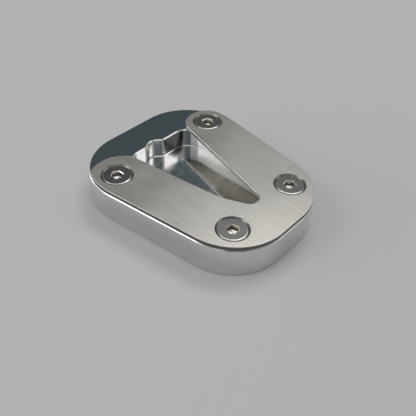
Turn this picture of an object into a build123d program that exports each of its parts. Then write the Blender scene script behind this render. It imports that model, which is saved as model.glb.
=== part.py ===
from build123d import *
import os
from math import cos, radians, sin, tan

# Kickstand foot enlarger, in millimetres. A machined aluminium block takes the foot of a
# motorbike's side stand in its pocket, a slotted steel plate closes over the foot, and
# countersunk screws clamp the two together. The stand's leg comes out through the slot.
# +X points to the narrow end, +Z up, and the origin is the middle of the underside.
# The near side is the one towards -Y, and the far side the one towards +Y.

# Block: a tapered outline with round corners, milled from plate
block_length = 84.7
block_wide_end = 75.4
block_narrow_end = 52.2
block_corner_radius = 23.0
block_thickness = 12.7
block_edge_chamfer = 0.5

# Screws: countersunk, hexagon socket, metric coarse six
screw_diameter = 6.0
screw_length = 10.0
screw_head_diameter = 11.3
screw_rim_bevel = 0.4
screw_rim_land = 0.1
screw_tip_chamfer = 0.7
socket_across_flats = 4.0
socket_depth = 2.4
socket_lead_in = 0.3
thread_clearance = 0.05
seat_clearance = 0.02

# Screw places, measured in from the block's ends and from its tapered sides
wide_screw_end_inset = 20.9
wide_screw_side_inset = 9.5
narrow_screw_end_inset = 13.8
narrow_screw_side_inset = 11.3
tapped_hole_spare_depth = 1.5

# Plate: follows the block's outline, with a wedge-shaped slot open at the wide end
plate_thickness = 1.6
plate_inset = 0.2
plate_edge_radius = 0.25
countersink_mouth = 12.6
countersink_angle = 90.0
slot_tip_past_pocket = 8.9
slot_tip_radius = 3.9
slot_tip_run = 20.6
slot_tip_angle = 25.0
slot_bend_radius = 24.0
near_leg_land = 12.3
far_leg_land = 9.9

# Plate leg ends: each leg ends in a round nose, a little wider than the leg and blended into it
near_nose_ahead = 2.5
near_nose_offset = 1.1
near_nose_overlap = 2.2
far_nose_ahead = 0.9
far_nose_offset = 0.1
far_nose_overlap = 0.1
nose_setback = 1.2
nose_blend_radius = 3.0
corner_tolerance = 0.001

# Pocket: the stand foot's own shape, with a scalloped wall at the wide end
pocket_depth = 8.3
pocket_far_land = 6.0
pocket_near_land = 8.6
pocket_front_land = 4.1
heel_land_near = 14.6
heel_land_far = 15.6
pocket_front_radius = 14.0
heel_flat_near = 3.9
heel_flat_far = 7.3
pocket_edge_chamfer = 0.4
pocket_floor_radius = 0.6
scallop_offset = -1.7
scallop_mouth = 8.8
scallop_floor = 2.6
scallop_depth = 1.6
scallop_radius = 2.6

# Places that follow from the sizes above
x_wide = -block_length / 2
x_narrow = block_length / 2
taper = (block_wide_end - block_narrow_end) / 2 / block_length
top_of_block = block_thickness
top_of_plate = block_thickness + plate_thickness


def half_width(x):
    """Distance from the middle line to the block's tapered side at a place along its length."""
    return block_narrow_end / 2 + (x_narrow - x) * taper


x_wide_screws = x_wide + wide_screw_end_inset
x_narrow_screws = x_narrow - narrow_screw_end_inset
y_wide_screws = half_width(x_wide_screws) - wide_screw_side_inset
y_narrow_screws = half_width(x_narrow_screws) - narrow_screw_side_inset
screw_places = [
    (x_wide_screws, -y_wide_screws),
    (x_wide_screws, y_wide_screws),
    (x_narrow_screws, -y_narrow_screws),
    (x_narrow_screws, y_narrow_screws),
]

# A screw's head hangs on the plate's cone, which runs on into the block
cone_spread = tan(radians(countersink_angle / 2))
countersink_in_block = countersink_mouth / 2 - plate_thickness * cone_spread
head_radius = screw_head_diameter / 2
shank_radius = screw_diameter / 2
rim_height = screw_rim_bevel + screw_rim_land
seat_depth = (countersink_mouth / 2 - head_radius) / cone_spread
head_recess = seat_depth - rim_height - seat_clearance
top_of_screw = top_of_plate - head_recess
tip_of_screw = top_of_screw - screw_length
tapped_radius = shank_radius + thread_clearance
tapped_hole_depth = top_of_block - tip_of_screw + tapped_hole_spare_depth

pocket_far = y_wide_screws - pocket_far_land
pocket_near = -y_wide_screws + pocket_near_land
pocket_middle = (pocket_far + pocket_near) / 2
pocket_front = x_narrow_screws - pocket_front_land
heel_near = x_wide + heel_land_near
heel_far = x_wide + heel_land_far
scallop_middle = pocket_middle + scallop_offset
scallop_near = scallop_middle - scallop_mouth / 2
scallop_far = scallop_middle + scallop_mouth / 2
scallop_bottom = heel_near - scallop_depth
heel_near_radius = scallop_near - pocket_near - heel_flat_near
heel_far_radius = pocket_far - scallop_far - heel_flat_far

# Block outline, shared by the block and the plate
with BuildSketch() as block_outline:
    with BuildLine():
        Polyline(
            (x_wide, -block_wide_end / 2),
            (x_narrow, -block_narrow_end / 2),
            (x_narrow, block_narrow_end / 2),
            (x_wide, block_wide_end / 2),
            close=True,
        )
    make_face()
    fillet(block_outline.vertices(), radius=block_corner_radius)

# Pocket outline: round front, straight sides, and a heel wall with a scallop in it
with BuildSketch() as pocket_outline:
    with BuildLine():
        Polyline(
            (pocket_front, pocket_near),
            (pocket_front, pocket_far),
            (heel_far, pocket_far),
            (heel_far, scallop_far),
            (scallop_bottom, scallop_middle + scallop_floor / 2),
            (scallop_bottom, scallop_middle - scallop_floor / 2),
            (heel_near, scallop_near),
            (heel_near, pocket_near),
            close=True,
        )
    make_face()
    front_corners = pocket_outline.vertices().group_by(Axis.X)[-1]
    fillet(front_corners, radius=pocket_front_radius)
    near_heel_corner = pocket_outline.vertices().sort_by_distance((heel_near, pocket_near))[0]
    fillet(near_heel_corner, radius=heel_near_radius)
    far_heel_corner = pocket_outline.vertices().sort_by_distance((heel_far, pocket_far))[0]
    fillet(far_heel_corner, radius=heel_far_radius)
    scallop_corners = pocket_outline.vertices().sort_by_distance((scallop_bottom, scallop_middle))[:4]
    fillet(scallop_corners, radius=scallop_radius)

# Base block: outline, broken edges, pocket, and tapped holes with the end of the screws' cones
with BuildPart() as base_block:
    add(block_outline.sketch)
    extrude(amount=block_thickness)
    rim_edges = base_block.faces().filter_by(Axis.Z).edges()
    chamfer(rim_edges, length=block_edge_chamfer)
    with BuildSketch(Plane.XY.offset(top_of_block)):
        add(pocket_outline.sketch)
    extrude(amount=-pocket_depth, mode=Mode.SUBTRACT)
    pocket_floor = base_block.faces().filter_by(Axis.Z).sort_by(Axis.Z)[1]
    fillet(pocket_floor.edges(), radius=pocket_floor_radius)
    pocket_mouth = base_block.faces().sort_by(Axis.Z)[-1].inner_wires()[0]
    chamfer(pocket_mouth.edges(), length=pocket_edge_chamfer)
    with Locations(Plane.XY.offset(top_of_block)):
        with Locations(*screw_places):
            CounterSinkHole(
                radius=tapped_radius,
                counter_sink_radius=countersink_in_block,
                depth=tapped_hole_depth,
                counter_sink_angle=countersink_angle,
            )
base_block.part.label = "base_block"

# Slot: a wedge whose near edge bends in towards the tip. Its two long edges pass the wide-end
# screws at the width of a leg's land, and run on past the block's wide end.
slot_tip = Vector(pocket_front + slot_tip_past_pocket, pocket_middle)
slot_bend = slot_tip - Vector(cos(radians(slot_tip_angle)), sin(radians(slot_tip_angle))) * slot_tip_run
near_leg_edge = Vector(x_wide_screws, near_leg_land - y_wide_screws)
far_leg_edge = Vector(x_wide_screws, y_wide_screws - far_leg_land)
slot_run = block_length + slot_tip_run
with BuildSketch() as slot_outline:
    with BuildLine():
        Polyline(
            slot_tip,
            slot_bend,
            slot_bend + (near_leg_edge - slot_bend).normalized() * slot_run,
            slot_tip + (far_leg_edge - slot_tip).normalized() * slot_run,
            close=True,
        )
    make_face()
    fillet(slot_outline.vertices().sort_by_distance(slot_bend)[0], radius=slot_bend_radius)
    fillet(slot_outline.vertices().sort_by(Axis.X)[-1], radius=slot_tip_radius)


def nose_waste(centre, radius, side):
    """What is cut off a plate leg behind its round nose."""
    with BuildSketch() as waste:
        with Locations((centre.X - nose_setback, pocket_middle)):
            Rectangle(block_length, block_wide_end, align=(Align.MAX, side))
        with Locations(centre):
            Circle(radius, mode=Mode.SUBTRACT)
    return waste.sketch


# The line across each leg at its nose gives the nose its middle and its radius
x_near_nose = x_wide_screws + near_nose_ahead
x_far_nose = x_wide_screws + far_nose_ahead
with BuildSketch() as plate_outline:
    add(block_outline.sketch)
    offset(amount=-plate_inset, mode=Mode.REPLACE)
    add(slot_outline.sketch, mode=Mode.SUBTRACT)
    across_near_leg = Edge.make_line((x_near_nose, -block_wide_end), (x_near_nose, pocket_middle))
    across_far_leg = Edge.make_line((x_far_nose, pocket_middle), (x_far_nose, block_wide_end))
    near_leg = across_near_leg & plate_outline.face()
    far_leg = across_far_leg & plate_outline.face()
    near_nose = near_leg @ 0.5 - Vector(0, near_nose_offset)
    far_nose = far_leg @ 0.5 + Vector(0, far_nose_offset)
    near_nose_radius = near_leg.length / 2 + near_nose_overlap
    far_nose_radius = far_leg.length / 2 + far_nose_overlap
    add(nose_waste(near_nose, near_nose_radius, Align.MAX), mode=Mode.SUBTRACT)
    add(nose_waste(far_nose, far_nose_radius, Align.MIN), mode=Mode.SUBTRACT)
    nose_corners = []
    for centre, radius in ((near_nose, near_nose_radius), (far_nose, far_nose_radius)):
        nose_corners += plate_outline.vertices().filter_by(
            lambda corner: abs((Vector(corner) - centre).length - radius) < corner_tolerance
        )
    fillet(nose_corners, radius=nose_blend_radius)

# Clamp plate: the outline with a broken top edge, and a countersink for each screw
with BuildPart() as clamp_plate:
    with BuildSketch(Plane.XY.offset(top_of_block)):
        add(plate_outline.sketch)
    extrude(amount=plate_thickness)
    fillet(clamp_plate.faces().sort_by(Axis.Z)[-1].edges(), radius=plate_edge_radius)
    with Locations(Plane.XY.offset(top_of_plate)):
        with Locations(*screw_places):
            CounterSinkHole(
                radius=tapped_radius,
                counter_sink_radius=countersink_mouth / 2,
                counter_sink_angle=countersink_angle,
            )
clamp_plate.part.label = "clamp_plate"

# One screw, turned about its own axis with its head's top at height zero
bottom_of_cone = -rim_height - (head_radius - shank_radius) / cone_spread
with BuildPart() as screw:
    with BuildSketch(Plane.XZ):
        with BuildLine():
            Polyline(
                (0, 0),
                (head_radius - screw_rim_bevel, 0),
                (head_radius, -screw_rim_bevel),
                (head_radius, -rim_height),
                (shank_radius, bottom_of_cone),
                (shank_radius, screw_tip_chamfer - screw_length),
                (shank_radius - screw_tip_chamfer, -screw_length),
                (0, -screw_length),
                close=True,
            )
        make_face()
    revolve(axis=Axis.Z)
    with BuildSketch():
        RegularPolygon(radius=socket_across_flats / 2, side_count=6, major_radius=False)
    extrude(amount=-socket_depth, mode=Mode.SUBTRACT)
    socket_mouth = screw.faces().sort_by(Axis.Z)[-1].inner_wires()[0]
    chamfer(socket_mouth.edges(), length=socket_lead_in)
screw.part.label = "screw"

# The screws in their places, one solid each
with BuildPart() as clamp_screws:
    with Locations(Plane.XY.offset(top_of_screw)):
        with Locations(*screw_places):
            add(screw.part)
clamp_screws.part.label = "clamp_screws"

os.makedirs("parts", exist_ok=True)
export_step(base_block.part, "parts/base_block.step")
export_step(clamp_plate.part, "parts/clamp_plate.step")
export_step(clamp_screws.part, "parts/clamp_screws.step")
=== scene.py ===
# %% [markdown]
# # Kickstand foot enlarger
# This foot is clamped around the end of a motorbike's side stand, so that the stand doesn't sink into soft
# ground. It has three kinds of piece: a milled aluminium block with a deep pocket, a brushed steel plate
# with a wedge-shaped slot, and four countersunk screws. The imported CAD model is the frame: its sizes and
# places hold, and every piece below is a finer mesh of one CAD node, made in the same place.

# %% Load the frame
from math import atan2, ceil, cos, degrees, pi, radians, sin, sqrt, tan

import bmesh
import bpy
from mathutils import Matrix, Vector


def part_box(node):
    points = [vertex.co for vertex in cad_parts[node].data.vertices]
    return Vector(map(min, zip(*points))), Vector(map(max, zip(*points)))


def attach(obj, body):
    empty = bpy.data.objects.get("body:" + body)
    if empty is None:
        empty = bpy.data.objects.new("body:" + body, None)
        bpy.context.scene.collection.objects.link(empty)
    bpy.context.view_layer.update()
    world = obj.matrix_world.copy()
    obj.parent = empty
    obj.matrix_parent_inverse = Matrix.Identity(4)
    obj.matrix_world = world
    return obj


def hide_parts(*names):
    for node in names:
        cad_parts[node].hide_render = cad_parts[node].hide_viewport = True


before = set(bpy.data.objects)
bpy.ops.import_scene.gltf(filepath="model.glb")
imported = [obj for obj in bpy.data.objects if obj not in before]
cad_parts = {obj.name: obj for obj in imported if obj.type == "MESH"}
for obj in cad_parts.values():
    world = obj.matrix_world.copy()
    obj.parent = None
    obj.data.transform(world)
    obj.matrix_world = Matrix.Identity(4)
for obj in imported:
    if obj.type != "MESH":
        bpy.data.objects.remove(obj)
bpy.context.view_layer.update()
scene = bpy.context.scene
scene.view_settings.view_transform = "Standard"

# %% [markdown]
# ## Camera
# The photograph looks down on the narrow end from one side. A camera was fitted to the outline and to the
# four screws, and is given here as an angle, a distance and a point to look at. The small roll keeps the
# picture as level as the photograph is. A matrix with the camera's own three axes as columns places it
# without any tracking constraint.

# %% Camera
camera_azimuth = radians(39.99)
camera_elevation = radians(42.91)
camera_roll = radians(3.24)
camera_distance = 0.2189
camera_target = Vector((0.00554, -0.00313, 0.0))
camera_lens = 48.0
sensor_width = 36.0
camera_clip = 0.005


def direction(azimuth, elevation):
    """The way from the object towards a viewer or a lamp. Azimuth 0 is the near side, 90 the narrow end."""
    flat = cos(elevation)
    return Vector((sin(azimuth) * flat, -cos(azimuth) * flat, sin(elevation)))


def axes_towards(back, roll=0.0):
    """Right, up and back axes of a camera or lamp that looks against the back direction."""
    right = Vector((0, 0, 1)).cross(back).normalized()
    up = back.cross(right)
    rolled_right = right * cos(roll) + up * sin(roll)
    rolled_up = up * cos(roll) - right * sin(roll)
    return rolled_right, rolled_up, back


def place(thing, axes, spot):
    """Set an object's place from three axes and a point."""
    turn = Matrix(axes).transposed().to_4x4()
    thing.matrix_world = Matrix.Translation(spot) @ turn


camera_back = direction(camera_azimuth, camera_elevation)
camera_data = bpy.data.cameras.new("photo_camera")
camera_data.sensor_width = sensor_width
camera_data.lens = camera_lens
camera_data.clip_start = camera_clip
camera = bpy.data.objects.new("photo_camera", camera_data)
scene.collection.objects.link(camera)
place(camera, axes_towards(camera_back, camera_roll), camera_target + camera_back * camera_distance)
scene.camera = camera
print("Camera stands at", [round(v, 4) for v in camera.matrix_world.translation])

# %% [markdown]
# ## Studio
# The real foot is bright metal, so what it reflects is half of its look. A softbox hangs behind and above
# it: the front of the plate mirrors its edge and is light, and the back of the plate looks past it and is
# darker. A wide card overhead gives plain soft light, so that a colour renders about as it is written.
# Smaller cards to the left, to the right and in front give the chamfers their white lines and the pocket's
# heel wall its bands, and a low strip reaches the pocket's far wall. Area lamps could be set by their
# power, but a mirror shows how bright a lamp looks and not how strong it is, so here the power follows from
# the brightness.

# %% Floor and lamps
floor_size = 6.0
floor_colour = (0.56, 0.56, 0.556)


def softbox(name, azimuth, elevation, distance, width, height, brightness):
    """An area lamp aimed at the object. Brightness is its radiance, so its power follows from its area."""
    data = bpy.data.lights.new(name, "AREA")
    data.shape = "RECTANGLE"
    data.size = width
    data.size_y = height
    data.energy = brightness * pi * width * height
    lamp = bpy.data.objects.new(name, data)
    scene.collection.objects.link(lamp)
    back = direction(radians(azimuth), radians(elevation))
    place(lamp, axes_towards(back), back * distance)
    print(name, "gives", round(data.energy, 2), "W")
    return lamp


softbox("back_softbox", azimuth=194, elevation=60, distance=1.4, width=0.8, height=0.44, brightness=4.3)
softbox("left_card", azimuth=-35, elevation=40, distance=1.2, width=0.6, height=0.54, brightness=2.2)
softbox("low_strip", azimuth=-42, elevation=6, distance=1.4, width=1.8, height=0.3, brightness=3.8)
softbox("right_card", azimuth=136, elevation=36, distance=1.2, width=0.48, height=0.64, brightness=0.8)
softbox("front_card", azimuth=22, elevation=35, distance=1.2, width=0.16, height=0.24, brightness=1.3)
softbox("top_card", azimuth=40, elevation=80, distance=1.2, width=1.24, height=1.24, brightness=0.8)

floor_mesh = bpy.data.meshes.new("floor")
half = floor_size / 2
floor_corners = [(-half, -half, 0), (half, -half, 0), (half, half, 0), (-half, half, 0)]
floor_mesh.from_pydata(floor_corners, [], [(0, 1, 2, 3)])
floor = bpy.data.objects.new("floor", floor_mesh)
scene.collection.objects.link(floor)

# %% [markdown]
# ## Outlines and skins
# Every piece here is turned or milled: an outline made of straight runs and arcs, and a section that is
# carried round it. So two small tools make all of them. One walks along a list of arcs and notes points,
# outward normals and the distance walked. The other sweeps a section along such a walk and joins the rings
# with quads. A straight run gets a spare point near each end, so that smooth shading stays flat in between,
# which matters on mirror-like metal.

# %% Walking along arcs
arc_step = radians(3)
run_spare = 0.0003
same_point = 1e-7


class Walk:
    """A closed path: points, outward normals, the distance walked to each, and where arcs start and end."""

    def __init__(self, points, normals, starts=(), ends=()):
        self.points = points
        self.normals = normals
        self.starts = starts
        self.ends = ends
        self.distances = [0.0]
        for here, there in zip(points, points[1:] + points[:1]):
            self.distances.append(self.distances[-1] + (there - here).length)


def angle_of(vector):
    """The angle of a flat vector, from the X axis."""
    return atan2(vector.y, vector.x)


def corner_arc(before, corner, after, radius):
    """The arc that rounds a corner, as centre, radius, first angle and the angle it turns through."""
    way_in = (corner - before).normalized()
    way_out = (after - corner).normalized()
    turn = atan2(way_in.cross(way_out), way_in.dot(way_out))
    side = 1 if turn > 0 else -1
    start = corner - way_in * radius * tan(abs(turn) / 2)
    centre = start + Vector((-way_in.y, way_in.x)) * radius * side
    return centre, radius, angle_of(start - centre), turn


def arc_between(centre, radius, first, last):
    """An arc that turns left from one angle to another."""
    return centre, radius, first, (last - first) % (2 * pi)


def walk_arcs(arcs):
    """Walk along arcs in turn. The straight runs between them follow by themselves."""
    points = []
    normals = []
    starts = []
    ends = []
    for centre, radius, first, turn in arcs:
        side = 1 if turn > 0 else -1
        steps = max(2, ceil(abs(turn) / arc_step))
        arc_points = []
        arc_normals = []
        for step in range(steps + 1):
            angle = first + turn * step / steps
            spoke = Vector((cos(angle), sin(angle)))
            arc_points.append(centre + spoke * radius)
            arc_normals.append(spoke * side)
        touching = bool(points) and (arc_points[0] - points[-1]).length < same_point
        if points and not touching:
            add_spares(points, normals, arc_points[0])
        starts.append(len(points) - touching)
        points += arc_points[touching:]
        normals += arc_normals[touching:]
        ends.append(len(points) - 1)
    add_spares(points, normals, points[0])
    return Walk(points, normals, starts, ends)


def add_spares(points, normals, goal):
    """Two spare points on the straight run that leads to the goal, close to its ends."""
    start = points[-1]
    run = goal - start
    if run.length > 4 * run_spare:
        way = run.normalized() * run_spare
        normal = normals[-1]
        points += [start + way, goal - way]
        normals += [normal, normal]


def walk_circle(centre, radius, steps=96):
    """A full circle."""
    spokes = [Vector((cos(2 * pi * k / steps), sin(2 * pi * k / steps))) for k in range(steps)]
    return Walk([centre + spoke * radius for spoke in spokes], spokes)


print("Arcs are walked in steps of", round(degrees(arc_step)), "degrees at most")

# %% [markdown]
# A section is a list of places: how far inside the outline, and how high. The UV map "finish" is filled as
# the skin grows, in metres: along the walk and along the section. Flat caps take their plan place instead.
# So a material can run a pattern along a wall, down a wall or across a face without stretching. Blender's
# filler joins points that are closer than a few hundredths of a unit, so a shape grows in millimetres and
# is shrunk to metres at the end.

# %% Sweeping sections and filling faces
sharp_angle = radians(28)
workshop_unit = 0.001
merge_distance = 0.0001


class Shape:
    """A mesh in the making, with its UV map and one material slot for each finish."""

    def __init__(self):
        self.bm = bmesh.new()
        self.uv = self.bm.loops.layers.uv.new("finish")

    def vert(self, x, y, z):
        """A new vertex, from a place in metres."""
        return self.bm.verts.new(Vector((x, y, z)) / workshop_unit)

    def sweep(self, walk, section, finish):
        """Carry a section round a walk and return its rings. A list gives each step its own finish."""
        rings = []
        lengths = [0.0]
        for place_now, (inset, height) in enumerate(section):
            ring = [
                self.vert(*(point - normal * inset), height)
                for point, normal in zip(walk.points, walk.normals)
            ]
            rings.append(ring)
            if place_now:
                last_inset, last_height = section[place_now - 1]
                lengths.append(lengths[-1] + sqrt((inset - last_inset) ** 2 + (height - last_height) ** 2))
        count = len(walk.points)
        for low in range(len(rings) - 1):
            for k in range(count):
                after = (k + 1) % count
                corners = (rings[low][k], rings[low][after], rings[low + 1][after], rings[low + 1][k])
                face = self.bm.faces.new(corners)
                face.material_index = finish[k] if isinstance(finish, list) else finish
                along = (walk.distances[k], walk.distances[k + 1], walk.distances[k + 1], walk.distances[k])
                down = (lengths[low], lengths[low], lengths[low + 1], lengths[low + 1])
                for loop, u, v in zip(face.loops, along, down):
                    loop[self.uv].uv = (u, v)
        return rings

    def fill(self, loops, finish):
        """Fill the flat face between closed loops of vertices."""
        edges = []
        for ring in loops:
            for here, there in zip(ring, ring[1:] + ring[:1]):
                edges.append(self.bm.edges.get((here, there)) or self.bm.edges.new((here, there)))
        filled = bmesh.ops.triangle_fill(self.bm, use_beauty=True, edges=edges, normal=(0, 0, 1))
        faces = [item for item in filled["geom"] if isinstance(item, bmesh.types.BMFace)]
        for face in faces:
            face.material_index = finish
            for loop in face.loops:
                loop[self.uv].uv = loop.vert.co.xy * workshop_unit
        return faces

    def finish(self, name):
        """Turn the faces outwards, mark the hard edges and make a plain object."""
        bmesh.ops.remove_doubles(self.bm, verts=self.bm.verts, dist=merge_distance)
        bmesh.ops.recalc_face_normals(self.bm, faces=self.bm.faces)
        for face in self.bm.faces:
            face.smooth = True
        open_edges = 0
        for edge in self.bm.edges:
            if len(edge.link_faces) == 2:
                edge.smooth = edge.calc_face_angle() < sharp_angle
            else:
                open_edges += 1
        mesh = bpy.data.meshes.new(name)
        self.bm.to_mesh(mesh)
        self.bm.free()
        mesh.transform(Matrix.Scale(workshop_unit, 4))
        piece = bpy.data.objects.new(name, mesh)
        scene.collection.objects.link(piece)
        print(name, "has", len(mesh.polygons), "faces and", open_edges, "open edges")
        return piece


def round_section(inset, height, radius, first, last, steps=6):
    """Places along a quarter round in a section, about a middle given as inset and height."""
    angles = [radians(first + (last - first) * k / steps) for k in range(steps + 1)]
    return [(inset + radius * cos(angle), height + radius * sin(angle)) for angle in angles]


print("Edges sharper than", round(degrees(sharp_angle)), "degrees stay hard")

# %% [markdown]
# ## Tools for finishes
# All the metal here is bare, so its look is in small things: how rough it is from place to place, which way
# the fine lines of brushing, turning and milling run, and what handling has left on it. Three node groups
# make those effects once, and each material places them with its own sizes. They put out heights and shades
# only. The shader itself stays in each material, and what is the same all over a surface is set on the
# shader's sockets.

# %% Node helpers
NOISE_REACH = (0.3, 0.7)
MASK_REACH = (0.0, 1.0)


def add_node(tree, kind, inputs=None, **settings):
    """Add a node to a tree. Each input is a plain value or another node's output."""
    node = tree.nodes.new(kind)
    for name, value in settings.items():
        setattr(node, name, value)
    for name, value in (inputs or {}).items():
        if isinstance(value, bpy.types.NodeSocket):
            tree.links.new(value, node.inputs[name])
        else:
            node.inputs[name].default_value = value
    return node


def new_group(name, inputs, outputs):
    """An empty shader node group with named sockets. Inputs give a socket type and a first value."""
    tree = bpy.data.node_groups.new(name, "ShaderNodeTree")
    for label, (kind, value) in inputs.items():
        socket = tree.interface.new_socket(label, in_out="INPUT", socket_type=kind)
        if value is not None:
            socket.default_value = value
    for label in outputs:
        tree.interface.new_socket(label, in_out="OUTPUT", socket_type="NodeSocketFloat")
    return tree, tree.nodes.new("NodeGroupInput"), tree.nodes.new("NodeGroupOutput")


def noise(tree, vector, detail=2.0, roughness=0.55):
    """Noise of unit size over a vector."""
    inputs = {"Vector": vector, "Scale": 1.0, "Detail": detail, "Roughness": roughness}
    return add_node(tree, "ShaderNodeTexNoise", inputs).outputs["Fac"]


def line_noise(tree, distance, detail=2.0):
    """Noise along a single distance, which makes lines across it."""
    inputs = {"W": distance, "Scale": 1.0, "Detail": detail, "Roughness": 0.6}
    return add_node(tree, "ShaderNodeTexNoise", inputs, noise_dimensions="1D").outputs["Fac"]


def maths(tree, operation, first, second):
    """A sum on two numbers."""
    return add_node(tree, "ShaderNodeMath", {0: first, 1: second}, operation=operation).outputs[0]


def vector_maths(tree, operation, first, second):
    """A sum on two vectors."""
    return add_node(tree, "ShaderNodeVectorMath", {0: first, 1: second}, operation=operation).outputs[0]


def spread(tree, value, low, high, reach=NOISE_REACH):
    """Bring a value from its own reach to the range from low to high."""
    first, last = reach
    inputs = {"Value": value, "From Min": first, "From Max": last, "To Min": low, "To Max": high}
    return add_node(tree, "ShaderNodeMapRange", inputs).outputs["Result"]


def soft_step(tree, value, first, last):
    """0 up to the first value, 1 from the last value on, and even in between."""
    return spread(tree, value, 0.0, 1.0, (first, last))


print("Node helpers are ready for", bpy.app.version_string)

# %% [markdown]
# Brushing leaves grooves that are long in one direction and hair-thin in the other. Dividing the place by a
# length and a width before plain noise is read stretches the noise into such grooves.

# %% Brushed grain group
VECTOR = "NodeSocketVector"
FLOAT = "NodeSocketFloat"

grain_tree, grain_in, grain_out = new_group(
    "brushed_grain",
    {"Vector": (VECTOR, None), "Length": (FLOAT, 0.02), "Width": (FLOAT, 0.0002)},
    ["Height", "Shade"],
)
grain_size = add_node(
    grain_tree,
    "ShaderNodeCombineXYZ",
    {"X": grain_in.outputs["Length"], "Y": grain_in.outputs["Width"], "Z": grain_in.outputs["Width"]},
)
grain_place = vector_maths(grain_tree, "DIVIDE", grain_in.outputs["Vector"], grain_size.outputs[0])
broad_grain = (0.5, 0.2, 0.2)
broad_place = vector_maths(grain_tree, "MULTIPLY", grain_place, broad_grain)
grain_height = noise(grain_tree, grain_place, detail=3.0, roughness=0.7)
grain_shade = noise(grain_tree, broad_place, detail=3.0, roughness=0.6)
grain_tree.links.new(grain_height, grain_out.inputs["Height"])
grain_tree.links.new(grain_shade, grain_out.inputs["Shade"])
print("Made", grain_tree.name)

# %% [markdown]
# Turning and milling leave lines too, but these follow the tool: round a screw's axis, or along a wall. So
# this group only takes a distance, such as a radius, and draws lines across it.

# %% Tool lines group
lines_tree, lines_in, lines_out = new_group(
    "tool_lines", {"Distance": (FLOAT, 0.0), "Spacing": (FLOAT, 0.0002)}, ["Height", "Shade"]
)
lines_place = maths(lines_tree, "DIVIDE", lines_in.outputs["Distance"], lines_in.outputs["Spacing"])
broad_line = 0.2
broad_lines = maths(lines_tree, "MULTIPLY", lines_place, broad_line)
lines_tree.links.new(line_noise(lines_tree, lines_place), lines_out.inputs["Height"])
lines_tree.links.new(line_noise(lines_tree, broad_lines), lines_out.inputs["Shade"])
print("Made", lines_tree.name)

# %% [markdown]
# Handling leaves cloudy smears and a few hairline scratches. The smears are soft noise. A scratch is the
# narrow crest of very long noise, laid in two directions and broken up by the smears.

# %% Handling marks group
marks_tree, marks_in, marks_out = new_group(
    "handling_marks", {"Vector": (VECTOR, None), "Size": (FLOAT, 0.012)}, ["Smear", "Scratch"]
)
smear_place = vector_maths(marks_tree, "DIVIDE", marks_in.outputs["Vector"], marks_in.outputs["Size"])
clouds = noise(marks_tree, smear_place, detail=4.0, roughness=0.6)
smear = soft_step(marks_tree, clouds, first=0.42, last=0.68)
marks_tree.links.new(smear, marks_out.inputs["Smear"])
scratch_size = (0.016, 0.00014, 0.00014)
crests = []
for scratch_turn in (radians(24), radians(-57)):
    turned = add_node(
        marks_tree,
        "ShaderNodeVectorRotate",
        {"Vector": marks_in.outputs["Vector"], "Angle": scratch_turn},
        rotation_type="Z_AXIS",
    ).outputs[0]
    hair_place = vector_maths(marks_tree, "DIVIDE", turned, scratch_size)
    crests.append(soft_step(marks_tree, noise(marks_tree, hair_place, detail=1.0), first=0.7, last=0.78))
crest = maths(marks_tree, "MAXIMUM", crests[0], crests[1])
marks_tree.links.new(maths(marks_tree, "MULTIPLY", crest, smear), marks_out.inputs["Scratch"])
print("Made", marks_tree.name)

# %% [markdown]
# A finish is a material with one shader and the small helpers that every metal here needs: the places a
# pattern can be laid on, a placed group, a colour that follows a shade, and a bump.

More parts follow.
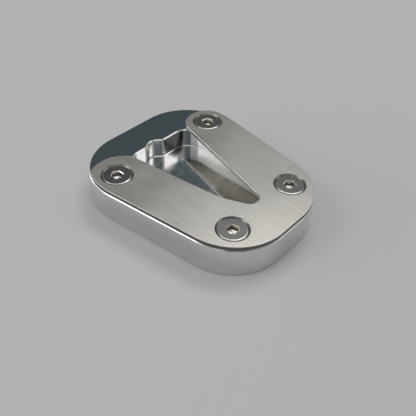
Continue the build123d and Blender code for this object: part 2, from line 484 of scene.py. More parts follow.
# %% Finish helper
class Finish:
    """A bare metal material in the making."""

    def __init__(self, name, colour, roughness, metallic=1.0):
        self.material = bpy.data.materials.new(name)
        self.material.use_nodes = True
        self.material.diffuse_color = (*colour, 1.0)
        self.tree = self.material.node_tree
        self.shader = self.tree.nodes["Principled BSDF"]
        self.shader.inputs["Base Color"].default_value = (*colour, 1.0)
        self.shader.inputs["Roughness"].default_value = roughness
        self.shader.inputs["Metallic"].default_value = metallic

    def place(self):
        """The place on the piece, in metres."""
        return add_node(self.tree, "ShaderNodeTexCoord").outputs["Object"]

    def laid(self):
        """The place in the piece's own UV map, in metres."""
        return add_node(self.tree, "ShaderNodeUVMap", uv_map="finish").outputs["UV"]

    def along(self):
        """The distance along the walk of a swept skin."""
        return add_node(self.tree, "ShaderNodeSeparateXYZ", {"Vector": self.laid()}).outputs["X"]

    def down(self):
        """The distance along the section of a swept skin."""
        return add_node(self.tree, "ShaderNodeSeparateXYZ", {"Vector": self.laid()}).outputs["Y"]

    def group(self, group_tree, inputs):
        """Place a node group with its own values, and return its outputs."""
        return add_node(self.tree, "ShaderNodeGroup", inputs, node_tree=group_tree).outputs

    def marks(self, size):
        """Handling marks with smears of a size."""
        return self.group(marks_tree, {"Vector": self.place(), "Size": size})

    def lines(self, distance, spacing):
        """Tool lines across a distance."""
        return self.group(lines_tree, {"Distance": distance, "Spacing": spacing})

    def grain(self, length, width):
        """Brushed grain along the piece."""
        return self.group(grain_tree, {"Vector": self.place(), "Length": length, "Width": width})

    def distance_from(self, x, y):
        """The distance from a point of the plan, on a flat cap."""
        offset = vector_maths(self.tree, "SUBTRACT", self.laid(), (x, y, 0.0))
        return add_node(self.tree, "ShaderNodeVectorMath", {0: offset}, operation="LENGTH").outputs["Value"]

    def colour(self, shade, low, high, reach=NOISE_REACH):
        """Let the colour follow a shade."""
        ramp = add_node(self.tree, "ShaderNodeValToRGB", {"Fac": shade})
        for element, position, tint in zip(ramp.color_ramp.elements, reach, (low, high)):
            element.position = position
            element.color = (*tint, 1.0)
        self.tree.links.new(ramp.outputs["Color"], self.shader.inputs["Base Color"])

    def roughness(self, shade, low, high, reach=NOISE_REACH):
        """Let the roughness follow a shade."""
        self.set_roughness(spread(self.tree, shade, low, high, reach))

    def set_roughness(self, value):
        """Take the roughness from a value that is worked out elsewhere."""
        self.tree.links.new(value, self.shader.inputs["Roughness"])

    def bump(self, height, depth, strength=1.0):
        """Raise the surface by a height. The depth is in metres."""
        inputs = {"Height": height, "Strength": strength, "Distance": depth}
        bump = add_node(self.tree, "ShaderNodeBump", inputs)
        self.tree.links.new(bump.outputs["Normal"], self.shader.inputs["Normal"])


def wear(piece, finishes):
    """Give a piece its finishes, in the order of its material slots."""
    for finish in finishes:
        piece.data.materials.append(finish.material)
    print(piece.name, "wears", [finish.material.name for finish in finishes])


print("Finishes run their patterns on Object coordinates or on the UV map")

# %% [markdown]
# ## Surroundings and floor
# The surroundings are pale at the horizon and greyer overhead, with two dim blue-grey patches: a dark
# screen behind the object, which the polished top of the block mirrors, and the dark place behind the
# camera, which the pocket's heel wall mirrors. An image of a studio could do this, but a world shader needs
# no file: there the Generated coordinate is the view direction. The size of its dot product with the level
# direction of the screen is the same before and behind, so it serves both patches. Together with the height
# it gives the cosine of the angle to the nearer patch, and a step over that cosine draws both. Near the
# horizon they fade out.

# %% Surroundings
horizon_colour = (0.45, 0.45, 0.447, 1.0)
overhead_colour = (0.24, 0.24, 0.24, 1.0)
patch_colour = (0.064, 0.083, 0.090, 1.0)
pale_below = radians(12)
grey_above = radians(36)
screen_azimuth = radians(222)
patch_elevation = radians(36)
patch_inner = radians(18)
patch_outer = radians(34)
patch_above = radians(8)
patch_full_above = radians(22)


def mixed(tree, share, first, second):
    """A colour between two others. The Mix node keeps its colours in these sockets."""
    first_colour, second_colour, mixed_colour = 6, 7, 2
    inputs = {"Factor": share, first_colour: first, second_colour: second}
    return add_node(tree, "ShaderNodeMix", inputs, data_type="RGBA").outputs[mixed_colour]


world = bpy.data.worlds.new("studio")
world.use_nodes = True
scene.world = world
sky = world.node_tree
sky_way = add_node(sky, "ShaderNodeTexCoord").outputs["Generated"]
sky_height = add_node(sky, "ShaderNodeSeparateXYZ", {"Vector": sky_way}).outputs["Z"]
overhead = soft_step(sky, sky_height, sin(pale_below), sin(grey_above))
screen_way = {0: sky_way, 1: direction(screen_azimuth, 0.0)}
screen_side = add_node(sky, "ShaderNodeVectorMath", screen_way, operation="DOT_PRODUCT").outputs["Value"]
either_side = maths(sky, "ABSOLUTE", screen_side, 0.0)
level_part = maths(sky, "MULTIPLY", either_side, cos(patch_elevation))
upright_part = maths(sky, "MULTIPLY", sky_height, sin(patch_elevation))
patch_cosine = maths(sky, "ADD", level_part, upright_part)
near_patch = soft_step(sky, patch_cosine, cos(patch_outer), cos(patch_inner))
off_horizon = soft_step(sky, sky_height, sin(patch_above), sin(patch_full_above))
in_patch = maths(sky, "MULTIPLY", near_patch, off_horizon)
pale_sky = mixed(sky, overhead, horizon_colour, overhead_colour)
sky.links.new(mixed(sky, in_patch, pale_sky, patch_colour), sky.nodes["Background"].inputs["Color"])
print("Each dim patch is", round(degrees(patch_inner * 2)), "degrees wide before its soft edge")

# %% [markdown]
# The floor is plain, pale and matt. Near the object it is lit like the rest and keeps the object's shadow.
# Far away, where the lamps no longer reach, it fades into the horizon's colour, so that no edge shows
# behind the object. The light path limits that glow to what the camera and the mirror-like metal see, so it
# lights nothing.

# %% Floor finish
fade_start = 0.16
fade_end = 0.6
pale_floor = Finish("pale_floor", floor_colour, 0.7, metallic=0.0)
floor_tree = pale_floor.tree
pale_floor.shader.inputs["Specular IOR Level"].default_value = 0.0
floor_smear = pale_floor.marks(0.15)["Smear"]
pale_floor.roughness(floor_smear, 0.62, 0.78, MASK_REACH)
floor_reach = add_node(floor_tree, "ShaderNodeVectorMath", {0: pale_floor.place()}, operation="LENGTH")
floor_far = soft_step(floor_tree, floor_reach.outputs["Value"], fade_start, fade_end)
light_path = add_node(floor_tree, "ShaderNodeLightPath").outputs
seen = light_path["Is Camera Ray"]
for other_ray in ("Is Glossy Ray", "Is Transmission Ray"):
    seen = maths(floor_tree, "MAXIMUM", seen, light_path[other_ray])
horizon_glow = add_node(floor_tree, "ShaderNodeEmission", {"Color": horizon_colour}).outputs["Emission"]
NEAR_SHADER, FAR_SHADER = 1, 2
faded = {
    "Fac": maths(floor_tree, "MULTIPLY", floor_far, seen),
    NEAR_SHADER: pale_floor.shader.outputs["BSDF"],
    FAR_SHADER: horizon_glow,
}
faded_floor = add_node(floor_tree, "ShaderNodeMixShader", faded).outputs["Shader"]
floor_tree.links.new(faded_floor, floor_tree.nodes["Material Output"].inputs["Surface"])
wear(floor, [pale_floor])

# %% [markdown]
# ## Block outline and screw places
# The block's length and height come from the CAD node's box. Its outline is a tapered trapezoid with large
# round corners, listed anticlockwise from the near wide corner. The screws sit a fixed distance in from the
# ends and from the tapered sides.

# %% Block outline
block_low, block_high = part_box("base_block")
plate_low, plate_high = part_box("clamp_plate")
screws_low, screws_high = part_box("clamp_screws")
block_top = block_high.z
plate_top = plate_high.z
x_wide = block_low.x
x_narrow = block_high.x
wide_end = 0.0754
narrow_end = 0.0522
corner_radius = 0.023
plate_inset = 0.0002
taper = (wide_end - narrow_end) / 2 / (x_narrow - x_wide)
block_corners = [
    Vector((x_wide, -wide_end / 2)),
    Vector((x_narrow, -narrow_end / 2)),
    Vector((x_narrow, narrow_end / 2)),
    Vector((x_wide, wide_end / 2)),
]


def rounded(corners, radii):
    """The arcs of a closed polygon whose corners are rounded, one radius for each."""
    count = len(corners)
    return [
        corner_arc(corners[k - 1], corners[k], corners[(k + 1) % count], radii[k]) for k in range(count)
    ]


def half_width(x):
    """Distance from the middle line to the block's side at a place along it."""
    return narrow_end / 2 + (x_narrow - x) * taper


block_arcs = rounded(block_corners, [corner_radius] * 4)
block_walk = walk_arcs(block_arcs)

wide_screw_inset = (0.0209, 0.0095)
narrow_screw_inset = (0.0138, 0.0113)
x_wide_screws = x_wide + wide_screw_inset[0]
x_narrow_screws = x_narrow - narrow_screw_inset[0]
y_wide_screws = half_width(x_wide_screws) - wide_screw_inset[1]
y_narrow_screws = half_width(x_narrow_screws) - narrow_screw_inset[1]
screw_places = [
    Vector((x_wide_screws, -y_wide_screws)),
    Vector((x_wide_screws, y_wide_screws)),
    Vector((x_narrow_screws, -y_narrow_screws)),
    Vector((x_narrow_screws, y_narrow_screws)),
]
print("Outline of", len(block_walk.points), "points,", round(block_walk.distances[-1] * 1000, 1), "mm round")

# %% [markdown]
# ## Block
# The block is milled from thick plate: its sides are polished, both rims are broken by a narrow chamfer,
# and a deep pocket takes the foot of the stand. The pocket's heel wall has a scallop in it. A Boolean could
# cut the pocket, but swept rings give clean quads, so the reflections in its walls run without a break.
# Each finish has a material slot of its own: polished skin, cut chamfers, and the pocket's walls, foot and
# floor.

# %% Pocket outline
pocket_depth = 0.0083
pocket_near_land = 0.0086
pocket_far_land = 0.0060
pocket_front_land = 0.0041
heel_land_near = 0.0146
heel_land_far = 0.0156
pocket_front_radius = 0.014
heel_flat_near = 0.0039
heel_flat_far = 0.0073
scallop_offset = -0.0017
scallop_mouth = 0.0088
scallop_floor = 0.0026
scallop_depth = 0.0016
scallop_radius = 0.0026

pocket_near = -y_wide_screws + pocket_near_land
pocket_far = y_wide_screws - pocket_far_land
pocket_middle = (pocket_near + pocket_far) / 2
pocket_front = x_narrow_screws - pocket_front_land
heel_near = x_wide + heel_land_near
heel_far = x_wide + heel_land_far
scallop_middle = pocket_middle + scallop_offset
scallop_near = scallop_middle - scallop_mouth / 2
scallop_far = scallop_middle + scallop_mouth / 2
scallop_bottom = heel_near - scallop_depth
heel_near_radius = scallop_near - pocket_near - heel_flat_near
heel_far_radius = pocket_far - scallop_far - heel_flat_far
pocket_floor = block_top - pocket_depth
pocket_corners = [
    Vector((pocket_front, pocket_near)),
    Vector((pocket_front, pocket_far)),
    Vector((heel_far, pocket_far)),
    Vector((heel_far, scallop_far)),
    Vector((scallop_bottom, scallop_middle + scallop_floor / 2)),
    Vector((scallop_bottom, scallop_middle - scallop_floor / 2)),
    Vector((heel_near, scallop_near)),
    Vector((heel_near, pocket_near)),
]
pocket_radii = [pocket_front_radius] * 2 + [heel_far_radius] + [scallop_radius] * 4 + [heel_near_radius]
FAR_HEEL, NEAR_HEEL = 2, 7
pocket_walk = walk_arcs(rounded(pocket_corners, pocket_radii))
print("Pocket outline of", len(pocket_walk.points), "points, floor at", round(pocket_floor * 1000, 2), "mm")

# %% [markdown]
# The rings below go round the block's outline first and then round the pocket's. The finish of the long
# walls turns part of the way round the far heel corner. The heel wall is milled by itself with a smaller
# cutter, so the steps of the pocket's walk from there to the end of the near heel corner get another
# finish.

# %% Block mesh
POLISHED, CUT_EDGE, POCKET_WALL, POCKET_FLOOR, HEEL_WALL, POCKET_FOOT = range(6)
edge_chamfer = 0.0005
pocket_chamfer = 0.0004
floor_round = 0.0006
edge_spare = 0.00005
countersink_mouth = 0.0126
tapped_radius = 0.00305
tapped_spare = 0.0015
far_wall_turn = radians(39)
cone_in_block = countersink_mouth / 2 - (plate_top - block_top)
tapped_bottom = screws_low.z - tapped_spare

block = Shape()
block.sweep(block_walk, [(0, edge_chamfer), (0, block_top - edge_chamfer)], POLISHED)
top_edge = block.sweep(block_walk, [(0, block_top - edge_chamfer), (edge_chamfer, block_top)], CUT_EDGE)
bottom_edge = block.sweep(block_walk, [(edge_chamfer, 0), (0, edge_chamfer)], CUT_EDGE)
mouth = block.sweep(
    pocket_walk, [(-pocket_chamfer, block_top), (0, block_top - pocket_chamfer)], CUT_EDGE
)
wall_foot = pocket_floor + floor_round
heel_first = pocket_walk.starts[FAR_HEEL] + round(far_wall_turn / arc_step)
heel_last = pocket_walk.ends[NEAR_HEEL]
wall_finishes = [
    HEEL_WALL if heel_first <= k < heel_last else POCKET_WALL for k in range(len(pocket_walk.points))
]
wall_section = [(0, block_top - pocket_chamfer), (0, wall_foot + edge_spare), (0, wall_foot)]
block.sweep(pocket_walk, wall_section, wall_finishes)
foot_round = round_section(floor_round, wall_foot, -floor_round, 0, 90)
foot = block.sweep(pocket_walk, foot_round + [(floor_round + edge_spare, pocket_floor)], POCKET_FOOT)
block.fill([foot[-1]], POCKET_FLOOR)
hole_rims = []
for spot in screw_places:
    hole = walk_circle(spot, tapped_radius)
    flare = tapped_radius - cone_in_block
    rings = block.sweep(hole, [(flare, block_top), (0, block_top + flare), (0, tapped_bottom)], CUT_EDGE)
    hole_rims.append(rings[0])
    block.fill([rings[-1]], CUT_EDGE)
block.fill([top_edge[-1], mouth[0]] + hole_rims, POLISHED)
block.fill([bottom_edge[0]], POLISHED)
block_piece = block.finish("milled_block")

# %% [markdown]
# The block's skin is polished until it mirrors, with a little haze from handling. Its chamfers are cut
# after that and stay brighter and a little rougher.

# %% Block finishes
polished = Finish("polished_aluminium", (0.74, 0.75, 0.76), 0.1)
polished_marks = polished.marks(0.014)
polished.colour(polished_marks["Smear"], (0.75, 0.76, 0.77), (0.70, 0.71, 0.72), MASK_REACH)
scratch_roughness = 0.2
haze = spread(polished.tree, polished_marks["Smear"], 0.07, 0.15, MASK_REACH)
scuff = maths(polished.tree, "MULTIPLY", polished_marks["Scratch"], scratch_roughness)
polished.set_roughness(maths(polished.tree, "MAXIMUM", scuff, haze))
polished.bump(polished_marks["Scratch"], depth=-0.0000005)

cut_edge = Finish("cut_edge", (0.88, 0.88, 0.87), 0.2)
edge_lines = cut_edge.lines(cut_edge.down(), spacing=0.00008)
cut_edge.roughness(edge_lines["Shade"], 0.16, 0.28)
cut_edge.bump(edge_lines["Height"], depth=0.000003)
print("Made", polished.material.name, "and", cut_edge.material.name)

# %% [markdown]
# The pocket is milled. The side of the cutter leaves lines along the long walls, and such lines scatter
# light up and down, so these walls look satin and evenly light. Anisotropy on the shader does that, turned
# by a quarter because the scatter runs across the lines. The heel wall keeps upright lines and mirrors
# more, and the floor keeps faint arcs from the cutter's end, and smears that dull its mirror in places.

# %% Pocket finishes
pocket_wall = Finish("milled_pocket_wall", (0.92, 0.92, 0.90), 0.43)
wall_lines = pocket_wall.lines(pocket_wall.down(), spacing=0.0004)
pocket_wall.colour(wall_lines["Shade"], (0.90, 0.90, 0.88), (0.94, 0.94, 0.92))
pocket_wall.roughness(wall_lines["Shade"], 0.4, 0.46)
pocket_wall.shader.inputs["Anisotropic"].default_value = 0.9
pocket_wall.shader.inputs["Anisotropic Rotation"].default_value = 0.25
pocket_wall.bump(wall_lines["Height"], depth=0.0000015)

heel_wall = Finish("milled_heel_wall", (0.88, 0.88, 0.87), 0.15)
heel_lines = heel_wall.lines(heel_wall.along(), spacing=0.0008)
heel_wall.colour(heel_lines["Shade"], (0.86, 0.86, 0.85), (0.91, 0.91, 0.90))
heel_wall.roughness(heel_lines["Shade"], 0.12, 0.18)
heel_wall.bump(heel_lines["Height"], depth=0.000001)

# The round at the foot of the pocket's walls is painted darker than the walls and the floor: painted shade
# in the crease, which dims its bright line.
pocket_foot_painted_shade = Finish("milled_pocket_foot_painted_shade", (0.65, 0.65, 0.64), 0.15)
foot_lines = pocket_foot_painted_shade.lines(pocket_foot_painted_shade.down(), spacing=0.0002)
pocket_foot_painted_shade.colour(foot_lines["Shade"], (0.60, 0.60, 0.59), (0.70, 0.70, 0.69))
pocket_foot_painted_shade.roughness(foot_lines["Shade"], 0.12, 0.18)
pocket_foot_painted_shade.bump(foot_lines["Height"], depth=0.000001)

pocket_floor_finish = Finish("milled_pocket_floor", (0.90, 0.91, 0.91), 0.11)
arc_middle = (0.08, 0.03)
cutter_arcs = pocket_floor_finish.lines(pocket_floor_finish.distance_from(*arc_middle), spacing=0.0006)
pocket_floor_finish.colour(cutter_arcs["Shade"], (0.87, 0.88, 0.88), (0.92, 0.93, 0.93))
floor_marks = pocket_floor_finish.marks(0.007)
arc_roughness = spread(pocket_floor_finish.tree, cutter_arcs["Shade"], 0.07, 0.12)
floor_smear_roughness = 0.12
floor_haze = maths(pocket_floor_finish.tree, "MULTIPLY", floor_marks["Smear"], floor_smear_roughness)
pocket_floor_finish.set_roughness(maths(pocket_floor_finish.tree, "ADD", floor_haze, arc_roughness))
pocket_floor_finish.bump(cutter_arcs["Height"], depth=0.0000015)

wear(block_piece, [polished, cut_edge, pocket_wall, pocket_floor_finish, heel_wall, pocket_foot_painted_shade])

# %% [markdown]
# ## Plate
# The plate is cut from brushed sheet and follows the block's outline a little inside its chamfer. Its slot
# is a wedge that is open at the wide end, and each leg ends in a round nose that is blended into the leg's
# two edges. The walk round it is again only a list of arcs. Where two circles are blended by a smaller one,
# the small circle's middle lies where two larger circles cross, so one helper finds it. For a straight
# edge, a second helper crosses a line with a circle.

# %% Blends between arcs and edges
blend_radius = 0.003


def circles_cross(first, first_radius, second, second_radius, side):
    """Where two circles cross, on the left (1) or right (-1) of the way from the first to the second."""
    gap = second - first
    along = (gap.length_squared + first_radius**2 - second_radius**2) / (2 * gap.length)
    across = sqrt(first_radius**2 - along**2) * side
    way = gap.normalized()
    return first + way * along + Vector((-way.y, way.x)) * across


def line_circle_cross(point, way, centre, radius, side):
    """Where a line crosses a circle, further along the way (1) or further back (-1)."""
    foot_of = point + way * (centre - point).dot(way)
    return foot_of + way * sqrt(radius**2 - (centre - foot_of).length_squared) * side


# %% Plate outline
slot_past_pocket = 0.0089
slot_tip = Vector((pocket_front + slot_past_pocket, pocket_middle))
slot_tip_radius = 0.0039
slot_tip_angle = radians(25)
slot_tip_run = 0.0206
slot_bend_radius = 0.024
near_leg_land = 0.0123
far_leg_land = 0.0099
near_nose_ahead, near_nose_offset, near_nose_overlap = 0.0025, 0.0011, 0.0022
far_nose_ahead, far_nose_offset, far_nose_overlap = 0.0009, 0.0001, 0.0001

slot_bend = slot_tip - Vector((cos(slot_tip_angle), sin(slot_tip_angle))) * slot_tip_run
near_leg_edge = Vector((x_wide_screws, near_leg_land - y_wide_screws))
far_leg_edge = Vector((x_wide_screws, y_wide_screws - far_leg_land))
near_way = (near_leg_edge - slot_bend).normalized()
far_way = (slot_tip - far_leg_edge).normalized()
rim_radius = corner_radius - plate_inset
near_back, near_front, far_front, far_back = [arc[0] for arc in block_arcs]


def nose(x, edge_point, edge_way, back_corner, side, offset, overlap):
    """The round end of a leg: its middle and radius, from the width of the leg at that place."""
    slot_edge = edge_point.y + (x - edge_point.x) * edge_way.y / edge_way.x
    rim_edge = back_corner.y + side * sqrt(rim_radius**2 - (x - back_corner.x) ** 2)
    middle = Vector((x, (slot_edge + rim_edge) / 2 + side * offset))
    return middle, abs(rim_edge - slot_edge) / 2 + overlap


x_near_nose = x_wide_screws + near_nose_ahead
x_far_nose = x_wide_screws + far_nose_ahead
near_nose, near_nose_radius = nose(
    x_near_nose, near_leg_edge, near_way, near_back, -1, near_nose_offset, near_nose_overlap
)
far_nose, far_nose_radius = nose(
    x_far_nose, far_leg_edge, far_way, far_back, 1, far_nose_offset, far_nose_overlap
)
near_inside = Vector((-near_way.y, near_way.x))
far_inside = Vector((-far_way.y, far_way.x))
far_rim_blend = circles_cross(
    far_back, rim_radius - blend_radius, far_nose, far_nose_radius - blend_radius, 1
)
far_slot_blend = line_circle_cross(
    far_leg_edge + far_inside * blend_radius, far_way, far_nose, far_nose_radius - blend_radius, -1
)
near_slot_blend = line_circle_cross(
    near_leg_edge + near_inside * blend_radius, near_way, near_nose, near_nose_radius - blend_radius, 1
)
near_rim_blend = circles_cross(
    near_back, rim_radius - blend_radius, near_nose, near_nose_radius - blend_radius, -1
)
print("Nose radii in mm:", round(near_nose_radius * 1000, 2), round(far_nose_radius * 1000, 2))

# %% [markdown]
# At a blend the touching point lies on the line through both middles, so one angle ends the first arc and
# starts the next. The list below follows the plate's edge anticlockwise, from the near front corner round
# the far side, along the slot and back.

# %% Plate walk
side_angle = block_arcs[1][2]
far_rim_angle = angle_of(far_rim_blend - far_back)
far_nose_angle = angle_of(far_rim_blend - far_nose)
far_slot_angle = angle_of(far_slot_blend - far_nose)
near_slot_angle = angle_of(near_slot_blend - near_nose)
near_nose_angle = angle_of(near_rim_blend - near_nose)
near_rim_angle = angle_of(near_rim_blend - near_back)
plate_arcs = [
    arc_between(near_front, rim_radius, side_angle, 0),
    arc_between(far_front, rim_radius, 0, -side_angle),
    arc_between(far_back, rim_radius, -side_angle, far_rim_angle),
    arc_between(far_rim_blend, blend_radius, far_rim_angle, far_nose_angle),
    arc_between(far_nose, far_nose_radius, far_nose_angle, far_slot_angle),
    arc_between(far_slot_blend, blend_radius, far_slot_angle, angle_of(-far_inside)),
    corner_arc(far_leg_edge, slot_tip, slot_bend, slot_tip_radius),
    corner_arc(slot_tip, slot_bend, near_leg_edge, slot_bend_radius),
    arc_between(near_slot_blend, blend_radius, angle_of(-near_inside), near_slot_angle),
    arc_between(near_nose, near_nose_radius, near_slot_angle, near_nose_angle),
    arc_between(near_rim_blend, blend_radius, near_nose_angle, near_rim_angle),
    arc_between(near_back, rim_radius, near_rim_angle, side_angle),
]
FAR_SLOT_BLEND, NEAR_NOSE = 5, 9
plate_walk = walk_arcs(plate_arcs)
print("Plate outline of", len(plate_walk.points), "points")

# %% [markdown]
# The plate's top edge is rounded by tumbling, and its sides keep the fine marks of the cut. The slot is
# milled afterwards. Its sides and its rim have finishes of their own, so that the outer sides can be painted
# dark as a painted reflection and the slot's rim painted brighter as a painted highlight. The four
# countersinks are cones that run on into the block.

# %% Plate mesh
BRUSHED, CUT_SIDE, COUNTERSINK, SLOT_SIDE, UNDERSIDE, SLOT_RIM = range(6)
plate_round = 0.00025
plate_bottom = plate_low.z

slot_first = plate_walk.starts[FAR_SLOT_BLEND]
slot_last = plate_walk.starts[NEAR_NOSE]
side_finishes = [
    SLOT_SIDE if slot_first <= k < slot_last else CUT_SIDE for k in range(len(plate_walk.points))
]

plate = Shape()
shoulder_foot = plate_top - plate_round - edge_spare
under = plate.sweep(plate_walk, [(0, plate_bottom), (0, shoulder_foot)], side_finishes)
shoulder = [(0, shoulder_foot)]
shoulder += round_section(plate_round, plate_top - plate_round, -plate_round, 0, -90)
shoulder += [(plate_round + edge_spare, plate_top)]
rim_finishes = [SLOT_RIM if side == SLOT_SIDE else BRUSHED for side in side_finishes]
upper = plate.sweep(plate_walk, shoulder, rim_finishes)
top_rims = []
bottom_rims = []
for spot in screw_places:
    cone = walk_circle(spot, countersink_mouth / 2)
    rings = plate.sweep(cone, [(0, plate_top), (plate_top - plate_bottom, plate_bottom)], COUNTERSINK)
    top_rims.append(rings[0])
    bottom_rims.append(rings[-1])
plate.fill([upper[-1]] + top_rims, BRUSHED)
plate.fill([under[0]] + bottom_rims, UNDERSIDE)
plate_piece = plate.finish("brushed_plate")

# %% [markdown]
# The plate is stainless sheet with its grain along its length. The grain does most of the work: it colours
# the steel a little, changes the roughness, and tilts the surface, which spreads reflections across the
# grain as real brushed steel does. Smears from handling make it a little duller in places. The underside,
# which the pocket's floor mirrors, keeps a long rolled grain, and its colour is painted darker and browner
# than the top as painted shade under the plate.

# %% Brushed and rolled faces
brushed = Finish("brushed_steel", (0.53, 0.507, 0.469), 0.36)
grain = brushed.grain(length=0.005, width=0.00009)
brushed_marks = brushed.marks(0.02)
brushed.colour(grain["Shade"], (0.465, 0.444, 0.41), (0.595, 0.569, 0.528))
grain_roughness = spread(brushed.tree, grain["Shade"], 0.34, 0.38)
smear_roughness = 0.06
dulled = maths(brushed.tree, "MULTIPLY", brushed_marks["Smear"], smear_roughness)
brushed.set_roughness(maths(brushed.tree, "ADD", dulled, grain_roughness))
brushed.bump(grain["Height"], depth=0.000004, strength=0.5)

underside = Finish("rolled_underside_painted_shade", (0.305, 0.285, 0.247), 0.19)
rolled = underside.grain(length=0.03, width=0.0004)
underside.colour(rolled["Shade"], (0.28, 0.26, 0.224), (0.33, 0.31, 0.27))
underside.roughness(rolled["Shade"], 0.16, 0.22)
underside.bump(rolled["Height"], depth=0.000002)
print("Made", brushed.material.name, "and", underside.material.name)

# %% [markdown]
# The outer sides are painted dark, a painted reflection of dark surroundings, with upright lines as a laser
# cut leaves them. The slot's sides keep a lighter steel colour, and the slot's rounded rim is polished,
# draws a thin bright line and is painted brighter than the steel as a painted highlight. The countersinks
# are turned, and their walls are painted dark as painted shade in the gap round each head, which makes a
# dark ring round each screw.

# %% Cut faces of the plate
# The outer sides' dark colour is a painted reflection.
cut_side_painted_reflection = Finish("cut_plate_side_painted_reflection", (0.14, 0.135, 0.13), 0.35)
side_lines = cut_side_painted_reflection.lines(cut_side_painted_reflection.along(), spacing=0.00015)
cut_side_painted_reflection.colour(side_lines["Shade"], (0.10, 0.097, 0.093), (0.18, 0.175, 0.168))
cut_side_painted_reflection.roughness(side_lines["Shade"], 0.28, 0.42)
cut_side_painted_reflection.bump(side_lines["Height"], depth=0.00001)

# The countersink's walls are painted dark: painted shade in the gap between each head and the plate.
countersunk = Finish("turned_countersink_painted_shade", (0.22, 0.21, 0.195), 0.22)
cone_lines = countersunk.lines(countersunk.down(), spacing=0.00012)
countersunk.colour(cone_lines["Shade"], (0.18, 0.17, 0.16), (0.26, 0.25, 0.23))
countersunk.roughness(cone_lines["Shade"], 0.18, 0.3)
countersunk.bump(cone_lines["Height"], depth=0.000004)

slot_side = Finish("milled_slot_side", (0.62, 0.61, 0.58), 0.3)
slot_lines = slot_side.lines(slot_side.along(), spacing=0.0002)
slot_side.colour(slot_lines["Shade"], (0.58, 0.57, 0.54), (0.66, 0.65, 0.62))
slot_side.roughness(slot_lines["Shade"], 0.28, 0.36)
slot_side.bump(slot_lines["Height"], depth=0.000002)

# The slot's rim is polished and rounded, and its colour is painted brighter than the steel as a painted
# highlight.
slot_rim_painted_highlight = Finish("polished_slot_rim_painted_highlight", (0.88, 0.87, 0.84), 0.19)
rim_marks = slot_rim_painted_highlight.marks(0.004)
slot_rim_painted_highlight.roughness(rim_marks["Smear"], 0.16, 0.22, MASK_REACH)

wear(plate_piece, [brushed, cut_side_painted_reflection, countersunk, slot_side, underside, slot_rim_painted_highlight])

# %% [markdown]
# ## Screws
# The four screws are the same countersunk screw, each stopped at its own turn, so the hexagons don't line
# up. One screw is made as a pattern about its own axis, and Geometry Nodes then sets it on four points. The
# head is turned and has a rounded rim, with a spare ring just inside it that keeps the flat face flat in
# shading. The hexagon socket has a lead-in, and ends in a cone because its hole is drilled before the
# hexagon is broached.

# %% Screw head and socket
TURNED_FACE, SCREW_SKIN, SOCKET, LEAD_IN = range(4)
head_radius = screws_high.x - x_narrow_screws
head_steps = 72
rim_round = 0.0005
shank_radius = 0.003
socket_flats = 0.004
socket_depth = 0.0024
socket_lead_in = 0.0003
socket_corner = 0.00015
drill_slope = radians(31)

screw = Shape()
rim_walk = walk_circle(Vector((0, 0)), head_radius, head_steps)
cone_foot = -rim_round - (head_radius - shank_radius)
rim_section = [(rim_round + edge_spare, 0)] + round_section(rim_round, -rim_round, -rim_round, -90, 0)
head = screw.sweep(rim_walk, rim_section + [(head_radius - shank_radius, cone_foot)], SCREW_SKIN)
hexagon = [
    Vector((cos(k * pi / 3), sin(k * pi / 3))) * socket_flats / sqrt(3) for k in range(6)
]
hexagon_walk = walk_arcs(rounded(hexagon, [socket_corner] * 6))
lead_in_rings = screw.sweep(hexagon_walk, [(-socket_lead_in, 0), (0, -socket_lead_in)], LEAD_IN)
socket_rings = screw.sweep(hexagon_walk, [(0, -socket_lead_in), (0, -socket_depth)], SOCKET)
screw.fill([head[0], lead_in_rings[0]], TURNED_FACE)
socket_foot = socket_rings[-1]
drill_point = screw.vert(0, 0, -socket_depth - socket_flats / 2 * tan(drill_slope))
for here, there in zip(socket_foot, socket_foot[1:] + socket_foot[:1]):
    screw.bm.faces.new((here, there, drill_point)).material_index = LEAD_IN
print("Each screw's head is", round(head_radius * 2000, 2), "mm across")

# %% [markdown]
# The thread is hidden in the block, but each screw is a piece of its own, so it gets a real one. A profile
# could be swept along a helix, but it is hard to join to the shank. Here the shank's radius is a function
# of the angle and the height instead, so plain rings make a ridge that climbs one pitch each turn.

# %% Screw thread
screw_length = screws_high.z - screws_low.z
thread_pitch = 0.001
thread_depth = 0.00055
thread_rows_each_turn = 8
tip_chamfer = 0.0007


def thread_radius(angle, height):
    """The shank's radius: a ridge that climbs one pitch each turn, run out at the tip and below the head."""
    phase = (height / thread_pitch + angle / (2 * pi)) % 1.0
    ridge = 1 - abs(2 * phase - 1)
    run_out = min(1.0, (cone_foot - height) / thread_pitch, (height + screw_length) / tip_chamfer)
    tip = min(0.0, height + screw_length - tip_chamfer)
    return shank_radius - thread_depth * (1 - ridge) * max(0.0, run_out) + tip


thread_rows = ceil((screw_length + cone_foot) / thread_pitch * thread_rows_each_turn)
last_ring = head[-1]
for row in range(1, thread_rows + 1):
    height = cone_foot - (screw_length + cone_foot) * row / thread_rows
    ring = []
    for vert in head[-1]:
        angle = atan2(vert.co.y, vert.co.x)
        radius = thread_radius(angle, height)
        ring.append(screw.vert(radius * cos(angle), radius * sin(angle), height))
    for k in range(len(ring)):
        after = (k + 1) % len(ring)
        face = screw.bm.faces.new((last_ring[k], last_ring[after], ring[after], ring[k]))
        face.material_index = SCREW_SKIN
    last_ring = ring
screw.fill([last_ring], SCREW_SKIN)
screw_pattern = screw.finish("screw_pattern")

# %% [markdown]
# A screw's face is turned, so its lines run round its own axis. The pattern's caps hold their plan place in
# the UV map, measured from the axis, and each copy keeps it. The face is dark and satin. The socket is
# painted dark and a little brown as painted shade in the recess, while its lead-in and the drilled cone at
# its bottom are painted brighter than the steel as painted highlights.

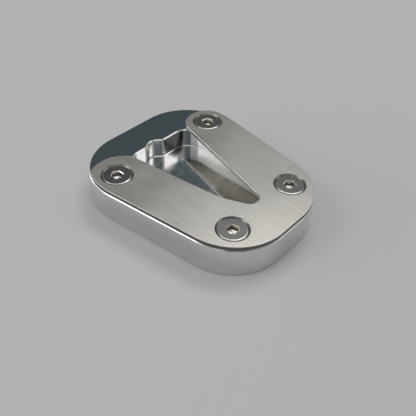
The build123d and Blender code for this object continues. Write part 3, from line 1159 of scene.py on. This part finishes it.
# %% Screw finishes
turned_face = Finish("turned_screw_face", (0.17, 0.168, 0.16), 0.37)
face_lines = turned_face.lines(turned_face.distance_from(0.0, 0.0), spacing=0.00008)
turned_face.colour(face_lines["Shade"], (0.155, 0.152, 0.145), (0.187, 0.184, 0.175))
turned_face.roughness(face_lines["Shade"], 0.32, 0.42)
turned_face.bump(face_lines["Height"], depth=0.000001)

screw_skin = Finish("screw_steel", (0.58, 0.57, 0.55), 0.24)
skin_marks = screw_skin.marks(0.004)
screw_skin.colour(skin_marks["Smear"], (0.60, 0.59, 0.57), (0.52, 0.51, 0.49), MASK_REACH)
screw_skin.roughness(skin_marks["Smear"], 0.2, 0.3, MASK_REACH)

# The socket's walls are painted dark and a little brown: painted shade in the recess.
socket_painted_shade = Finish("broached_socket_painted_shade", (0.30, 0.27, 0.23), 0.28)
socket_marks = socket_painted_shade.marks(0.0015)
socket_painted_shade.colour(socket_marks["Smear"], (0.36, 0.33, 0.29), (0.24, 0.21, 0.17), MASK_REACH)
socket_painted_shade.roughness(socket_marks["Smear"], 0.2, 0.38, MASK_REACH)

# The lead-in and the drilled cone catch the lamps, and are also painted brighter than the screw's steel as a
# painted highlight.
lead_in_painted_highlight = Finish("bright_lead_in_painted_highlight", (0.80, 0.78, 0.74), 0.3)
lead_in_marks = lead_in_painted_highlight.marks(0.0012)
lead_in_painted_highlight.colour(lead_in_marks["Smear"], (0.84, 0.82, 0.78), (0.72, 0.70, 0.66), MASK_REACH)
lead_in_painted_highlight.roughness(lead_in_marks["Smear"], 0.22, 0.32, MASK_REACH)

screw_finishes = [turned_face, screw_skin, socket_painted_shade, lead_in_painted_highlight]
print("Made", [finish.material.name for finish in screw_finishes])

# %% [markdown]
# The places are four points at the level of the heads, and each carries its screw's own turn in a named
# attribute. The pattern notes the kind of each face in another attribute, so that the tree can find the
# faces of each finish after the copies are made.

# %% Screw points
screw_turns = [radians(turn) for turn in (4, 20, 14, 37)]

kinds = screw_pattern.data.attributes.new("kind", "INT", "FACE")
kinds.data.foreach_set("value", [face.material_index for face in screw_pattern.data.polygons])

points_mesh = bpy.data.meshes.new("screw_points")
points_mesh.from_pydata([(*spot, screws_high.z) for spot in screw_places], [], [])
turn_attribute = points_mesh.attributes.new("turn", "FLOAT", "POINT")
turn_attribute.data.foreach_set("value", screw_turns)
screws_piece = bpy.data.objects.new("countersunk_screws", points_mesh)
scene.collection.objects.link(screws_piece)
print("Made", len(points_mesh.vertices), "points for the screws")

# %% [markdown]
# The tree puts the pattern on the points, turns each copy, and realises the copies, which makes real faces
# of them. Then it sets a material on each kind of face. The pattern and the four finishes are inputs of the
# tree.

# %% Screw tree
tree = bpy.data.node_groups.new("screws_on_points", "GeometryNodeTree")
tree.is_modifier = True
tree.interface.new_socket("Geometry", in_out="INPUT", socket_type="NodeSocketGeometry")
pattern_socket = tree.interface.new_socket("Pattern", in_out="INPUT", socket_type="NodeSocketObject")
finish_labels = ["Face finish", "Skin finish", "Socket finish", "Lead-in finish"]
finish_sockets = [
    tree.interface.new_socket(label, in_out="INPUT", socket_type="NodeSocketMaterial")
    for label in finish_labels
]
tree.interface.new_socket("Geometry", in_out="OUTPUT", socket_type="NodeSocketGeometry")

given = add_node(tree, "NodeGroupInput").outputs
pattern_info = add_node(tree, "GeometryNodeObjectInfo", {"Object": given["Pattern"]})
turn_reader = add_node(tree, "GeometryNodeInputNamedAttribute", {"Name": "turn"}, data_type="FLOAT")
turn_vector = add_node(tree, "ShaderNodeCombineXYZ", {"Z": turn_reader.outputs["Attribute"]})
setting = {
    "Points": given["Geometry"],
    "Instance": pattern_info.outputs["Geometry"],
    "Rotation": turn_vector.outputs["Vector"],
}
copies = add_node(tree, "GeometryNodeInstanceOnPoints", setting).outputs["Instances"]
dressed = add_node(tree, "GeometryNodeRealizeInstances", {"Geometry": copies}).outputs["Geometry"]

# The Compare node keeps its whole numbers in these sockets
FIRST_WHOLE, SECOND_WHOLE = 2, 3
kind_reader = add_node(tree, "GeometryNodeInputNamedAttribute", {"Name": "kind"}, data_type="INT")
for kind, label in enumerate(finish_labels):
    compared = {FIRST_WHOLE: kind_reader.outputs["Attribute"], SECOND_WHOLE: kind}
    is_kind = add_node(tree, "FunctionNodeCompare", compared, data_type="INT", operation="EQUAL")
    dressing = {"Geometry": dressed, "Selection": is_kind.outputs["Result"], "Material": given[label]}
    dressed = add_node(tree, "GeometryNodeSetMaterial", dressing).outputs["Geometry"]
add_node(tree, "NodeGroupOutput", {"Geometry": dressed})
print("The tree has", len(tree.nodes), "nodes")

# %% [markdown]
# The inputs are set by the sockets' identifiers, because two sockets may share a name. The result is turned
# into one plain mesh, since all four screws belong to one body, and the modifier and the pattern are
# removed.

# %% Screws on their places
setter = screws_piece.modifiers.new("screws_on_points", "NODES")
setter.node_group = tree
setter[pattern_socket.identifier] = screw_pattern
for socket, finish in zip(finish_sockets, screw_finishes):
    setter[socket.identifier] = finish.material
evaluated = screws_piece.evaluated_get(bpy.context.evaluated_depsgraph_get())
screws_mesh = bpy.data.meshes.new_from_object(evaluated)
screws_piece.modifiers.remove(setter)
screws_piece.data = screws_mesh
screws_mesh.name = "countersunk_screws"
bpy.data.objects.remove(screw_pattern)
print("The four screws have", len(screws_mesh.polygons), "faces together")

# %% [markdown]
# ## Hand over
# Each finer piece takes the place of its CAD node and rides on the one body that there is, because nothing
# here moves.

# %% Hand the pieces over
for piece, node, slot in (
    (block_piece, "base_block", "block"),
    (plate_piece, "clamp_plate", "plate"),
    (screws_piece, "clamp_screws", "screws"),
):
    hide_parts(node)
    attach(piece, "root")
